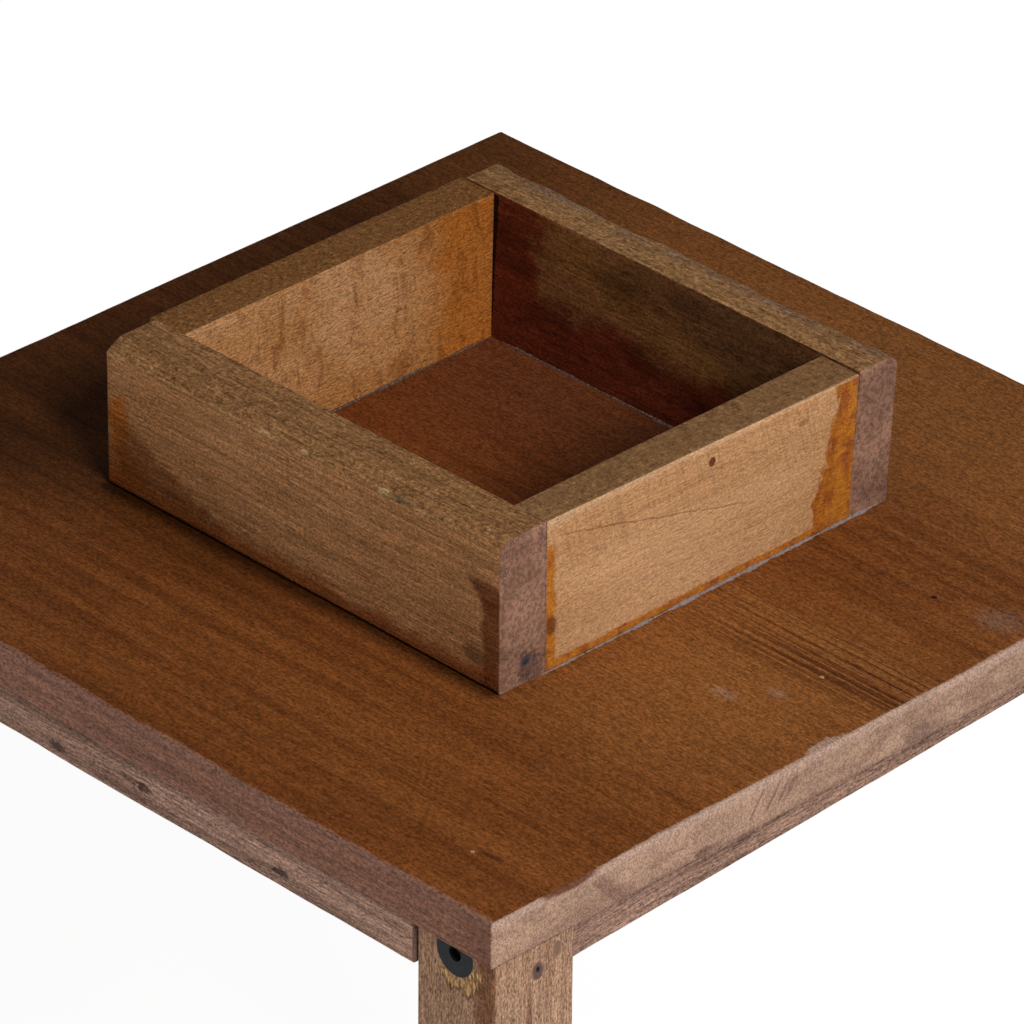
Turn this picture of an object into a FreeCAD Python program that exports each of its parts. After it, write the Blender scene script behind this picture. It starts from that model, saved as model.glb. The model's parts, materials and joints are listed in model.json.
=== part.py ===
import FreeCAD, Part
import os

# Tilt top table: a square board with an open box on it, hinged on two steel pins in the left legs.
# Millimetres. The origin is on the floor under the middle of the board, +Z up, +X right, -Y front.

# ---------------------------------------------------------------- driving dimensions
TOP_X = 483.6              # board along the grain
TOP_Y = 478.4              # board across the grain
TOP_Z = 600.0              # height of the board's upper face
BOARD_T = 21.8             # board thickness
PLANK_JOINTS = (-80.0, 78.0)   # where the three planks are glued, in Y
CORNER_R = 4.5             # worn back left corner of the board
EASE_R = 1.2               # eased long edges

LEG = 45.0                 # square legs
LEG_INSET_X = 0.4          # leg faces behind the board's edges
LEG_INSET_Y = 1.7
SEAT_GAP = 0.2             # leg tops below the board's underside

BATTEN_H = 19.3
BATTEN_W = 16.0            # front and back battens
RIGHT_BATTEN_INSET = 4.4   # outer face behind the board's edge at its front end
RIGHT_BATTEN_W = 24.0      # at its front end
RIGHT_BATTEN_TAPER = 14.5  # how much narrower its back end is, all on the outer face
BATTEN_INSET = 0.4
BATTEN_END_GAP = 1.0       # beside the right legs
PIVOT_END_GAP = 6.0        # beside the left legs, so the ends swing clear of the leg tops

RAIL_T = 20.0              # upper rails of the frame, behind the battens
RAIL_SETBACK = 18.0
RAIL_TOP_GAP = 1.0
RAIL_H = 29.0
RIGHT_RAIL_SETBACK = 30.0  # the right rail stands beside its batten, not under it
RIGHT_RAIL_T = 15.0
LEFT_RAIL_DROP = 46.0
LEFT_RAIL_H = 40.0

PIVOT_DROP = 15.0          # pivot axis below the board's underside
PIVOT_INSET = 24.0         # pivot axis from the board's left edge
PIN_R = 3.5
PIN_RECESS = 3.0
PIN_IN_RAIL = 30.0
RUN_CLEAR = 0.05           # radial clearance of the running fit
LEG_TOP_R = 14.5           # left leg tops are rounded about the pivot
REBATE_DEPTH = 41.0        # left legs are cut back here to let the board's edge swing down

PIVOT_RAIL_H = 30.0
PIVOT_RAIL_W = 34.0

LOCK_DROP = 4.0            # lock peg axis below the board's underside
LOCK_INSET = 23.5          # lock peg axis from the board's right edge
LOCK_R = 3.45
LOCK_BLIND = 20.0          # depth of the peg hole in the right batten
BUSH_R = 10.5
BUSH_T = 4.0

STRETCHER_T = 18.0
STRETCHER_H = 34.0
SIDE_STRETCHER_Z = 60.0    # left and right stretchers, lower edge
FACE_STRETCHER_Z = 88.0   # front and back stretchers, lower edge
PEG_R = 3.0
PEG_LENGTH = 30.0

# The box on the board: four boards of uneven thickness, nailed, glued and screwed.
BOX_LEFT = -124.5
BOX_RIGHT = 119.6
BOX_FRONT = -116.2
FRONT_WALL_T = 26.8        # at its right end
FRONT_WALL_LEFT_T = 29.2
FRONT_WALL_RIGHT_H = 73.8
FRONT_WALL_LEFT_H = 70.8
SIDE_WALL_BACK_H = 70.6
BACK_WALL_INNER = 96.7
BACK_WALL_OUTER = 120.3
BACK_WALL_H = 71.4
BACK_WALL_LEAN = 3.8       # how far the back wall's inner face leans out at its top
LEFT_WALL_T = 21.9
LEFT_WALL_LEAN = 3.4
RIGHT_WALL_FRONT_T = 19.6
RIGHT_WALL_BACK_T = 22.7

SCREW_R = 2.0
SCREW_HEAD_R = 3.8
RAIL_SCREW_R = 1.8
PLUG_R = 4.2               # filler over the rail screws

# ---------------------------------------------------------------- derived places
UNDER = TOP_Z - BOARD_T
HALF_X = TOP_X / 2
HALF_Y = TOP_Y / 2
LEG_X = HALF_X - LEG_INSET_X        # outer faces of the legs
LEG_Y = HALF_Y - LEG_INSET_Y
LEG_X_IN = LEG_X - LEG
LEG_Y_IN = LEG_Y - LEG
LEG_X_MID = LEG_X - LEG / 2
LEG_Y_MID = LEG_Y - LEG / 2
LEG_H = UNDER - SEAT_GAP
PIVOT_X = -HALF_X + PIVOT_INSET
PIVOT_Z = UNDER - PIVOT_DROP
LOCK_X = HALF_X - LOCK_INSET
LOCK_Z = UNDER - LOCK_DROP
RAIL_Y_OUT = HALF_Y - RAIL_SETBACK
RAIL_Y_MID = RAIL_Y_OUT - RAIL_T / 2
RIGHT_SCREW_Z = UNDER - 12.3
LEFT_SCREW_Z = UNDER - 25.0
BOX_FRONT_INNER = BOX_FRONT + FRONT_WALL_T

V = FreeCAD.Vector
X_AXIS = V(1, 0, 0)
Y_AXIS = V(0, 1, 0)
Z_AXIS = V(0, 0, 1)
SIDES = {"right": 1, "left": -1}
FACES = {"front": -1, "back": 1}

os.makedirs("parts", exist_ok=True)


# ---------------------------------------------------------------- helpers
def save(name, shape):
    shape.exportStep("parts/" + name + ".step")


def block(x_pair, y_pair, z_pair):
    """A block between two limits along each axis, given in either order."""
    low = [min(pair) for pair in (x_pair, y_pair, z_pair)]
    high = [max(pair) for pair in (x_pair, y_pair, z_pair)]
    return Part.makeBox(high[0] - low[0], high[1] - low[1], high[2] - low[2], V(*low))


def rod(radius, start, end):
    """A round rod between two points."""
    return Part.makeCylinder(radius, start.distanceToPoint(end), start, end - start)


def prism(points, sweep):
    """A solid swept from a flat polygon."""
    wire = Part.makePolygon(points + [points[0]])
    return Part.Face(wire).extrude(sweep)


def eased(shape, direction, radius=EASE_R):
    """Rounds every straight edge that runs along a direction."""
    edges = []
    for edge in shape.Edges:
        if isinstance(edge.Curve, Part.Line) and abs(edge.Curve.Direction.dot(direction)) > 0.999:
            edges.append(edge)
    return shape.makeFillet(radius, edges)


def one(shape):
    """The single solid of a boolean result."""
    cleaned = shape.removeSplitter()
    return cleaned.Solids[0]


def countersunk_hole(head, direction, length, radius=SCREW_R, head_r=SCREW_HEAD_R):
    """The space of a wood screw: a conical head and a plain shank."""
    cone = Part.makeCone(head_r, radius, head_r - radius, head, direction)
    shank = Part.makeCylinder(radius, length, head, direction)
    return cone.fuse(shank)


def wood_screw(head, direction, length, radius=SCREW_R, head_r=SCREW_HEAD_R):
    """A slotted countersunk wood screw with a tapered point."""
    point_length = 3 * radius
    tip_start = length - point_length
    cone = Part.makeCone(head_r, radius, head_r - radius, head, direction)
    shank = Part.makeCylinder(radius, tip_start, head, direction)
    tip = Part.makeCone(radius, 0.25 * radius, point_length, head + direction * tip_start, direction)
    slot = Part.makeBox(2 * head_r, 0.9, 0.9, V(-head_r, -0.45, 0))
    slot.Placement = FreeCAD.Placement(head, FreeCAD.Rotation(Z_AXIS, direction)).multiply(slot.Placement)
    return one(cone.fuse([shank, tip]).cut(slot))


# ---------------------------------------------------------------- fasteners and their places
def batten_screw_heads():
    """Screw heads in the undersides of the front, back and right battens."""
    low = UNDER - BATTEN_H
    heads = [V(x, y * (HALF_Y - BATTEN_INSET - BATTEN_W / 2), low)
             for y in FACES.values() for x in (-150, -50, 50, 150)]
    heads += [V(LOCK_X + 1, y, low) for y in (-150, -50, 50, 150)]
    return heads


def pivot_rail_screw_heads():
    x = -HALF_X + PIVOT_RAIL_W * 2 / 3
    return [V(x, y, UNDER - PIVOT_RAIL_H) for y in (-140, -47, 47, 140)]


def box_screw_heads():
    """Screw heads in the board's underside, below the middle of each box wall."""
    front = BOX_FRONT + FRONT_WALL_T / 2
    back = (BACK_WALL_INNER + BACK_WALL_OUTER) / 2
    left = BOX_LEFT + LEFT_WALL_T / 2
    right = BOX_RIGHT - RIGHT_WALL_FRONT_T / 2
    places = [(x, y) for y in (front, back) for x in (-80, 80)]
    places += [(x, y) for x in (left, right) for y in (-50, 50)]
    return [V(x, y, UNDER) for x, y in places]


BATTEN_SCREW_LENGTH = 30.0
PIVOT_SCREW_LENGTH = 44.0
BOX_SCREW_LENGTH = 45.0
up_holes = [countersunk_hole(p, Z_AXIS, BATTEN_SCREW_LENGTH) for p in batten_screw_heads()]
up_holes += [countersunk_hole(p, Z_AXIS, PIVOT_SCREW_LENGTH) for p in pivot_rail_screw_heads()]
up_holes += [countersunk_hole(p, Z_AXIS, BOX_SCREW_LENGTH) for p in box_screw_heads()]

DOWEL_R = 4.0
DOWEL_HALF = 18.0
dowels = [rod(DOWEL_R, V(x, joint - DOWEL_HALF, TOP_Z - BOARD_T / 2), V(x, joint + DOWEL_HALF, TOP_Z - BOARD_T / 2))
          for joint in PLANK_JOINTS for x in (-170, 0, 170)]

# Nails: head centre on the surface, and the way the nail is driven.
NAIL_HEAD_R = 1.5
NAIL_R = 0.9


def nail(head, direction, length):
    cap = Part.makeCylinder(NAIL_HEAD_R, 0.8, head, direction)
    shank = Part.makeCylinder(NAIL_R, length - 3 * NAIL_R, head, direction)
    tip = Part.makeCone(NAIL_R, 0.2, 3 * NAIL_R, head + direction * (length - 3 * NAIL_R), direction)
    return one(cap.fuse([shank, tip]))


def nail_hole(head, direction, length):
    cap = Part.makeCylinder(NAIL_HEAD_R, 0.8, head, direction)
    return cap.fuse(Part.makeCylinder(NAIL_R, length, head, direction))


BATTEN_FACE_Y = -HALF_Y + BATTEN_INSET
BATTEN_NAILS = [(V(116.4, BATTEN_FACE_Y, UNDER - BATTEN_H + 7.2), Y_AXIS, 13.0),
                (V(32.4, BATTEN_FACE_Y, UNDER - BATTEN_H + 9.7), Y_AXIS, 13.0),
                (V(-21.6, BATTEN_FACE_Y, UNDER - BATTEN_H + 5.6), Y_AXIS, 13.0)]
BOX_NAILS = [(V(BOX_RIGHT, BOX_FRONT + 15, TOP_Z + 11), -X_AXIS, 30.0)]


# ---------------------------------------------------------------- legs
def rail_screw_head(side, face):
    """Outer end of the screw that pulls a front or back rail onto a leg."""
    if side > 0:
        return V(LEG_X - 6, face * (RAIL_Y_MID + 2), RIGHT_SCREW_Z)
    return V(PIVOT_X - LEG_TOP_R + 6, face * (RAIL_Y_MID + 2), LEFT_SCREW_Z)


RAIL_SCREW_LENGTH = 62.0
RAIL_TENON_Z = (UNDER - 22, UNDER - 6)
LEFT_TENON_Z = (UNDER - 80, UNDER - 52)
TENON_DEPTH = 12.0
LOW_TENON_DEPTH = 18.0
FACE_TENON_Z = (FACE_STRETCHER_Z + 5, FACE_STRETCHER_Z + STRETCHER_H - 5)
SIDE_TENON_Z = (SIDE_STRETCHER_Z + 5, SIDE_STRETCHER_Z + STRETCHER_H - 5)


def rail_tenon(side, face):
    return block((side * LEG_X_IN, side * (LEG_X_IN + TENON_DEPTH)),
                 (face * (RAIL_Y_MID - 5), face * (RAIL_Y_MID + 5)), RAIL_TENON_Z)


def right_rail_tenon(face):
    middle = HALF_X - RIGHT_RAIL_SETBACK - RIGHT_RAIL_T / 2
    return block((middle - 5, middle + 5), (face * LEG_Y_IN, face * (LEG_Y_IN + TENON_DEPTH)), RAIL_TENON_Z)


def left_rail_tenon(face):
    return block((PIVOT_X - 5, PIVOT_X + 5), (face * LEG_Y_IN, face * (LEG_Y_IN + TENON_DEPTH)), LEFT_TENON_Z)


def face_stretcher_tenon(side, face):
    return block((side * LEG_X_IN, side * (LEG_X_IN + LOW_TENON_DEPTH)),
                 (face * (LEG_Y_MID - 5), face * (LEG_Y_MID + 5)), FACE_TENON_Z)


def side_stretcher_tenon(side, face):
    return block((side * (LEG_X_MID - 5), side * (LEG_X_MID + 5)),
                 (face * LEG_Y_IN, face * (LEG_Y_IN + LOW_TENON_DEPTH)), SIDE_TENON_Z)


def stretcher_pegs(side, face):
    """The two wooden pegs that pin a leg's stretcher tenons."""
    x = side * (LEG_X_IN + LOW_TENON_DEPTH / 2)
    y = face * (LEG_Y_IN + LOW_TENON_DEPTH / 2)
    z_face = FACE_STRETCHER_Z + STRETCHER_H / 2
    z_side = SIDE_STRETCHER_Z + STRETCHER_H / 2
    return [rod(PEG_R, V(x, face * LEG_Y, z_face), V(x, face * (LEG_Y - PEG_LENGTH), z_face)),
            rod(PEG_R, V(side * LEG_X, y, z_side), V(side * (LEG_X - PEG_LENGTH), y, z_side))]


def lock_bush(face):
    """A dark disc let into the leg, cut off level with the top of the leg."""
    outer = V(LOCK_X, face * LEG_Y, LOCK_Z)
    inner = V(LOCK_X, face * (LEG_Y - BUSH_T), LOCK_Z)
    over = block((LOCK_X - LEG, LOCK_X + LEG), (face * HALF_Y, face * LEG_Y_IN), (LEG_H, TOP_Z))
    return one(rod(BUSH_R, outer, inner).cut([over, rod(LOCK_R, outer, inner)]))


def pivot_bush(face):
    outer = V(PIVOT_X, face * LEG_Y, PIVOT_Z)
    inner = V(PIVOT_X, face * (LEG_Y - BUSH_T), PIVOT_Z)
    return one(rod(BUSH_R, outer, inner).cut(rod(PIN_R + RUN_CLEAR, outer, inner)))


def crossbore(face, x, z, radius):
    """A bore right through a leg from its front or back face."""
    return rod(radius, V(x, face * (LEG_Y + 1), z), V(x, face * (LEG_Y_IN - 1), z))


def bush_seat(face, x, z):
    return rod(BUSH_R, V(x, face * (LEG_Y + 1), z), V(x, face * (LEG_Y - BUSH_T), z))


def left_leg_relief(face):
    """Wood cut away so the board's left edge can swing down past the leg."""
    wide_y = (face * (LEG_Y + 1), face * (LEG_Y_IN - 1))
    rebate = block((-HALF_X, PIVOT_X - LEG_TOP_R), wide_y, (UNDER - REBATE_DEPTH, UNDER))
    corner = block((-HALF_X, PIVOT_X), wide_y, (PIVOT_Z, UNDER))
    nose = rod(LEG_TOP_R, V(PIVOT_X, wide_y[0], PIVOT_Z), V(PIVOT_X, wide_y[1], PIVOT_Z))
    return rebate.fuse(corner.cut(nose))


def leg(side, face):
    body = block((side * LEG_X, side * LEG_X_IN), (face * LEG_Y, face * LEG_Y_IN), (0, LEG_H))
    body = eased(body, Z_AXIS)
    head = rail_screw_head(side, face)
    inward = V(-side, 0, 0)
    counterbore = rod(PLUG_R, V(side * (LEG_X + 1), head.y, head.z), head)
    cutters = [rail_tenon(side, face), face_stretcher_tenon(side, face), side_stretcher_tenon(side, face),
               countersunk_hole(head, inward, RAIL_SCREW_LENGTH, RAIL_SCREW_R), counterbore]
    cutters += stretcher_pegs(side, face)
    if side > 0:
        cutters += [right_rail_tenon(face), crossbore(face, LOCK_X, LOCK_Z, LOCK_R),
                    bush_seat(face, LOCK_X, LOCK_Z)]
        if face < 0:
            cutters.append(old_hole_filler())
    else:
        cutters += [left_rail_tenon(face), crossbore(face, PIVOT_X, PIVOT_Z, PIN_R + RUN_CLEAR),
                    bush_seat(face, PIVOT_X, PIVOT_Z), left_leg_relief(face)]
    return one(body.cut(cutters))


def old_hole_filler():
    """Filler in a misplaced hole on the front right leg: a short upright slot."""
    y = -LEG_Y + 35.2
    z = UNDER - 8
    low = rod(2.3, V(LEG_X, y, z), V(LEG_X - 4, y, z))
    high = rod(2.3, V(LEG_X, y, z + 3), V(LEG_X - 4, y, z + 3))
    middle = block((LEG_X - 4, LEG_X), (y - 2.3, y + 2.3), (z, z + 3))
    return low.fuse([high, middle]).removeSplitter()


def screw_plug(side, face):
    """Filler over a rail screw, with the small hole left in its middle."""
    head = rail_screw_head(side, face)
    outer_x = LEG_X if side > 0 else PIVOT_X - LEG_TOP_R
    outer = V(outer_x, head.y, head.z)
    plug = rod(PLUG_R, outer, head)
    return one(plug.cut(rod(0.8, outer, outer + V(-side * 3, 0, 0))))


for side_name, side in SIDES.items():
    for face_name, face in FACES.items():
        save(face_name + "_" + side_name + "_leg", leg(side, face))

for face_name, face in FACES.items():
    save(face_name + "_lock_bush", lock_bush(face))
    save(face_name + "_pivot_bush", pivot_bush(face))

CORNERS = [(side, face) for side in SIDES.values() for face in FACES.values()]
save("stretcher_pegs", Part.makeCompound([peg for side, face in CORNERS for peg in stretcher_pegs(side, face)]))
save("rail_screws", Part.makeCompound([wood_screw(rail_screw_head(side, face), V(-side, 0, 0),
                                                  RAIL_SCREW_LENGTH, RAIL_SCREW_R)
                                       for side, face in CORNERS]))
fillers = [screw_plug(1, -1), screw_plug(1, 1), screw_plug(-1, -1), screw_plug(-1, 1), one(old_hole_filler())]
save("leg_fillers", Part.makeCompound(fillers))


# ---------------------------------------------------------------- rails and stretchers
def face_rail(face):
    """Upper front or back rail, stub tenoned and screwed between the legs."""
    bar = block((-LEG_X_IN, LEG_X_IN), (face * RAIL_Y_OUT, face * (RAIL_Y_OUT - RAIL_T)),
                (UNDER - RAIL_TOP_GAP - RAIL_H, UNDER - RAIL_TOP_GAP))
    bar = eased(bar, X_AXIS)
    bar = bar.fuse([rail_tenon(side, face) for side in SIDES.values()])
    holes = [countersunk_hole(rail_screw_head(side, face), V(-side, 0, 0), RAIL_SCREW_LENGTH, RAIL_SCREW_R)
             for side in SIDES.values()]
    return one(bar.cut(holes))


def right_rail():
    outer = HALF_X - RIGHT_RAIL_SETBACK
    bar = block((outer - RIGHT_RAIL_T, outer), (-LEG_Y_IN, LEG_Y_IN),
                (UNDER - RAIL_TOP_GAP - RAIL_H, UNDER - RAIL_TOP_GAP))
    return one(eased(bar, Y_AXIS).fuse([right_rail_tenon(face) for face in FACES.values()]))


def left_rail():
    bar = block((PIVOT_X - RAIL_T / 2, PIVOT_X + RAIL_T / 2), (-LEG_Y_IN, LEG_Y_IN),
                (UNDER - LEFT_RAIL_DROP - LEFT_RAIL_H, UNDER - LEFT_RAIL_DROP))
    return one(eased(bar, Y_AXIS).fuse([left_rail_tenon(face) for face in FACES.values()]))


def face_stretcher(face):
    bar = block((-LEG_X_IN, LEG_X_IN), (face * (LEG_Y_MID - STRETCHER_T / 2), face * (LEG_Y_MID + STRETCHER_T / 2)),
                (FACE_STRETCHER_Z, FACE_STRETCHER_Z + STRETCHER_H))
    bar = eased(bar, X_AXIS).fuse([face_stretcher_tenon(side, face) for side in SIDES.values()])
    return one(bar.cut([stretcher_pegs(side, face)[0] for side in SIDES.values()]))


def side_stretcher(side):
    bar = block((side * (LEG_X_MID - STRETCHER_T / 2), side * (LEG_X_MID + STRETCHER_T / 2)), (-LEG_Y_IN, LEG_Y_IN),
                (SIDE_STRETCHER_Z, SIDE_STRETCHER_Z + STRETCHER_H))
    bar = eased(bar, Y_AXIS).fuse([side_stretcher_tenon(side, face) for face in FACES.values()])
    return one(bar.cut([stretcher_pegs(side, face)[1] for face in FACES.values()]))


for face_name, face in FACES.items():
    save(face_name + "_top_rail", face_rail(face))
    save(face_name + "_stretcher", face_stretcher(face))
for side_name, side in SIDES.items():
    save(side_name + "_stretcher", side_stretcher(side))
save("right_top_rail", right_rail())
save("left_top_rail", left_rail())


# ---------------------------------------------------------------- board
def plank(y_low, y_high):
    """One plank of the board, drilled for the dowels and for the screws from below."""
    body = block((-HALF_X, HALF_X), (y_low, y_high), (UNDER, TOP_Z))
    if y_high >= HALF_Y:
        corner = [edge for edge in body.Edges
                  if abs(edge.CenterOfMass.x + HALF_X) < 0.01 and abs(edge.CenterOfMass.y - HALF_Y) < 0.01]
        body = body.makeFillet(CORNER_R, corner)
    return one(body.cut(dowels + up_holes))


save("front_plank", plank(-HALF_Y, PLANK_JOINTS[0]))
save("middle_plank", plank(*PLANK_JOINTS))
save("back_plank", plank(PLANK_JOINTS[1], HALF_Y))
save("plank_dowels", Part.makeCompound(dowels))


# ---------------------------------------------------------------- battens and pivot rail
def lock_peg_hole(face):
    mouth = V(LOCK_X, face * LEG_Y_IN, LOCK_Z)
    return rod(LOCK_R, mouth, V(LOCK_X, face * (LEG_Y_IN - BATTEN_END_GAP - LOCK_BLIND), LOCK_Z))


def face_batten(face):
    outer = HALF_Y - BATTEN_INSET
    bar = block((-LEG_X_IN + PIVOT_END_GAP, LEG_X_IN - BATTEN_END_GAP), (face * outer, face * (outer - BATTEN_W)),
                (UNDER - BATTEN_H, UNDER))
    cutters = list(up_holes)
    if face < 0:
        cutters += [nail_hole(*place) for place in BATTEN_NAILS]
    return one(eased(bar, X_AXIS, 0.8).cut(cutters))


def right_batten():
    """A hand-cut batten that tapers towards its back end; each end has a lock peg hole."""
    outer = HALF_X - RIGHT_BATTEN_INSET
    reach = LEG_Y_IN - BATTEN_END_GAP
    low = UNDER - BATTEN_H
    plan = [V(outer - RIGHT_BATTEN_W, -reach, low), V(outer, -reach, low),
            V(outer - RIGHT_BATTEN_TAPER, reach, low), V(outer - RIGHT_BATTEN_W, reach, low)]
    bar = prism(plan, V(0, 0, BATTEN_H))
    return one(bar.cut(up_holes + [lock_peg_hole(face) for face in FACES.values()]))


def pivot_pin(face):
    """A steel pin driven into the pivot rail's end; the leg's bore turns on it."""
    outer = V(PIVOT_X, face * (LEG_Y - PIN_RECESS), PIVOT_Z)
    inner = V(PIVOT_X, face * (LEG_Y_IN - BATTEN_END_GAP - PIN_IN_RAIL), PIVOT_Z)
    pin = rod(PIN_R, outer, inner)
    return pin.makeChamfer(0.5, [edge for edge in pin.Edges if edge.Closed])


def pivot_rail():
    outer = -HALF_X + BATTEN_INSET
    reach = LEG_Y_IN - BATTEN_END_GAP
    bar = block((outer, outer + PIVOT_RAIL_W), (-reach, reach), (UNDER - PIVOT_RAIL_H, UNDER))
    holes = [rod(PIN_R, V(PIVOT_X, face * LEG_Y_IN, PIVOT_Z), V(PIVOT_X, face * (reach - PIN_IN_RAIL), PIVOT_Z))
             for face in FACES.values()]
    return one(eased(bar, Y_AXIS, 0.8).cut(up_holes + holes))


for face_name, face in FACES.items():
    save(face_name + "_batten", face_batten(face))
    save(face_name + "_pivot_pin", pivot_pin(face))
save("right_batten", right_batten())
save("pivot_rail", pivot_rail())
save("batten_screws", Part.makeCompound([wood_screw(p, Z_AXIS, BATTEN_SCREW_LENGTH) for p in batten_screw_heads()]))
save("pivot_rail_screws",
     Part.makeCompound([wood_screw(p, Z_AXIS, PIVOT_SCREW_LENGTH) for p in pivot_rail_screw_heads()]))
save("batten_nails", Part.makeCompound([nail(*place) for place in BATTEN_NAILS]))


# ---------------------------------------------------------------- box
def front_wall():
    """Full length front wall, lower at its left end, with its outer upper edge worn to a slope."""
    profile = [V(BOX_LEFT, BOX_FRONT, TOP_Z), V(BOX_RIGHT, BOX_FRONT, TOP_Z),
               V(BOX_RIGHT, BOX_FRONT, TOP_Z + FRONT_WALL_RIGHT_H),
               V(BOX_LEFT, BOX_FRONT, TOP_Z + FRONT_WALL_LEFT_H)]
    plan = [V(BOX_LEFT, BOX_FRONT, TOP_Z), V(BOX_RIGHT, BOX_FRONT, TOP_Z),
            V(BOX_RIGHT, BOX_FRONT_INNER, TOP_Z), V(BOX_LEFT, BOX_FRONT + FRONT_WALL_LEFT_T, TOP_Z)]
    wall = prism(profile, V(0, 2 * FRONT_WALL_T, 0)).common(prism(plan, V(0, 0, 2 * FRONT_WALL_RIGHT_H)))
    slope_width = 7.0
    slope_height = 4.6
    end = V(BOX_RIGHT + 1, BOX_FRONT, TOP_Z + FRONT_WALL_RIGHT_H)
    wedge = prism([end + V(0, -1, -slope_height), end + V(0, 0, -slope_height), end + V(0, slope_width, 0),
                   end + V(0, slope_width, 5), end + V(0, -1, 5)],
                  V(BOX_LEFT - BOX_RIGHT - 2, 0, FRONT_WALL_LEFT_H - FRONT_WALL_RIGHT_H))
    return one(wall.cut([wedge] + up_holes + [nail_hole(*place) for place in BOX_NAILS]))


def back_wall():
    """Full length back wall: it leans outward and its outer upper edge is worn away."""
    lean = BACK_WALL_LEAN / BACK_WALL_H
    profile = [V(BOX_LEFT, BACK_WALL_INNER, TOP_Z),
               V(BOX_LEFT, BACK_WALL_OUTER, TOP_Z),
               V(BOX_LEFT, BACK_WALL_OUTER + lean * 64 + 0.8, TOP_Z + 64),
               V(BOX_LEFT, BACK_WALL_OUTER + 2.6, TOP_Z + 68.5),
               V(BOX_LEFT, BACK_WALL_OUTER - 2.2, TOP_Z + BACK_WALL_H - 0.4),
               V(BOX_LEFT, BACK_WALL_INNER + BACK_WALL_LEAN, TOP_Z + BACK_WALL_H)]
    return one(prism(profile, V(BOX_RIGHT - BOX_LEFT, 0, 0)).cut(up_holes))


def side_profile(x, front_height):
    """Outline of a side wall seen from the side: it butts between the front and back walls."""
    lean = BACK_WALL_LEAN / BACK_WALL_H
    gap = 0.6
    return [V(x, BOX_FRONT_INNER, TOP_Z), V(x, BACK_WALL_INNER - 0.1, TOP_Z),
            V(x, BACK_WALL_INNER + lean * SIDE_WALL_BACK_H - gap, TOP_Z + SIDE_WALL_BACK_H),
            V(x, BOX_FRONT_INNER, TOP_Z + front_height)]


def right_wall():
    """Side wall that is a little thicker at its back end."""
    long_block = prism(side_profile(BOX_RIGHT, FRONT_WALL_RIGHT_H - 0.2), V(-40, 0, 0))
    reach = BACK_WALL_INNER + BACK_WALL_LEAN
    plan = [V(BOX_RIGHT, BOX_FRONT_INNER, TOP_Z - 1), V(BOX_RIGHT, reach, TOP_Z - 1),
            V(BOX_RIGHT - RIGHT_WALL_BACK_T, reach, TOP_Z - 1),
            V(BOX_RIGHT - RIGHT_WALL_FRONT_T, BOX_FRONT_INNER, TOP_Z - 1)]
    return one(long_block.common(prism(plan, V(0, 0, 80))).cut(up_holes + [front_wall()]))


def left_wall():
    """Side wall that leans outward."""
    long_block = prism(side_profile(BOX_LEFT - 10, FRONT_WALL_LEFT_H - 0.2), V(60, 0, 0))
    reach = BACK_WALL_INNER + BACK_WALL_LEAN + 5
    section = [V(BOX_LEFT, BOX_FRONT_INNER, TOP_Z), V(BOX_LEFT + LEFT_WALL_T, BOX_FRONT_INNER, TOP_Z),
               V(BOX_LEFT + LEFT_WALL_T - LEFT_WALL_LEAN, BOX_FRONT_INNER, TOP_Z + 72),
               V(BOX_LEFT - LEFT_WALL_LEAN, BOX_FRONT_INNER, TOP_Z + 72)]
    return one(long_block.common(prism(section, V(0, reach - BOX_FRONT_INNER, 0))).cut(up_holes + [front_wall()]))


save("box_front_wall", front_wall())
save("box_back_wall", back_wall())
save("box_right_wall", right_wall())
save("box_left_wall", left_wall())
save("box_screws", Part.makeCompound([wood_screw(p, Z_AXIS, BOX_SCREW_LENGTH) for p in box_screw_heads()]))
save("box_nail", nail(*BOX_NAILS[0]))
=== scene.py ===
import math

import bmesh
import bpy
from mathutils import Matrix, Vector, noise
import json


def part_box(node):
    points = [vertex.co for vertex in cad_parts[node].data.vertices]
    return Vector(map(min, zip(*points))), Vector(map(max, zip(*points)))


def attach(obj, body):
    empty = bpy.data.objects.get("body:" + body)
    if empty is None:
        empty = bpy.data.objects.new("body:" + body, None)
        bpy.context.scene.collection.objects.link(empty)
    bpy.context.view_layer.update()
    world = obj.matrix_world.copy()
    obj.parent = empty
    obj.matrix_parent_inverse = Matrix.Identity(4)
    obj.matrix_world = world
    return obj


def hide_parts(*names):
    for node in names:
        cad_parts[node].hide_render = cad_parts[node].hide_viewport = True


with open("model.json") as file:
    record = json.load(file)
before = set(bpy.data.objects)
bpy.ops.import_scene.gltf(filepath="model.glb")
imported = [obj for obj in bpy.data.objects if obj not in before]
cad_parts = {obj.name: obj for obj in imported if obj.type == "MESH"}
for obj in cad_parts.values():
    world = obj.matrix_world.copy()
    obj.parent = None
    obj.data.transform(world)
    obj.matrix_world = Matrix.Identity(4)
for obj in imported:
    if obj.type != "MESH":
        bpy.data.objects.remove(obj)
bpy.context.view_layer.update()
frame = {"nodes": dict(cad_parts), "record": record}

MM = 0.001
# The unevenness of the wood is drawn from this seed, so it is the same each time.
UNEVENNESS_SEED = 7
noise.seed_set(UNEVENNESS_SEED)
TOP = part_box("front_plank")[1].z
# Marks on the wood and the camera are placed from this point near the board's middle, in millimetres.
MARK_X = -1.6
MARK_Y = -0.4


# ---------------------------------------------------------------- shader building
def tone(red, green, blue, gain=1.0):
    """A colour given in 0..255 display values, turned into a linear base colour."""
    channels = []
    for value in (red, green, blue):
        value = value / 255
        linear = value / 12.92 if value <= 0.04045 else ((value + 0.055) / 1.055) ** 2.4
        channels.append(min(linear * gain, 0.9))
    return (*channels, 1.0)


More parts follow.
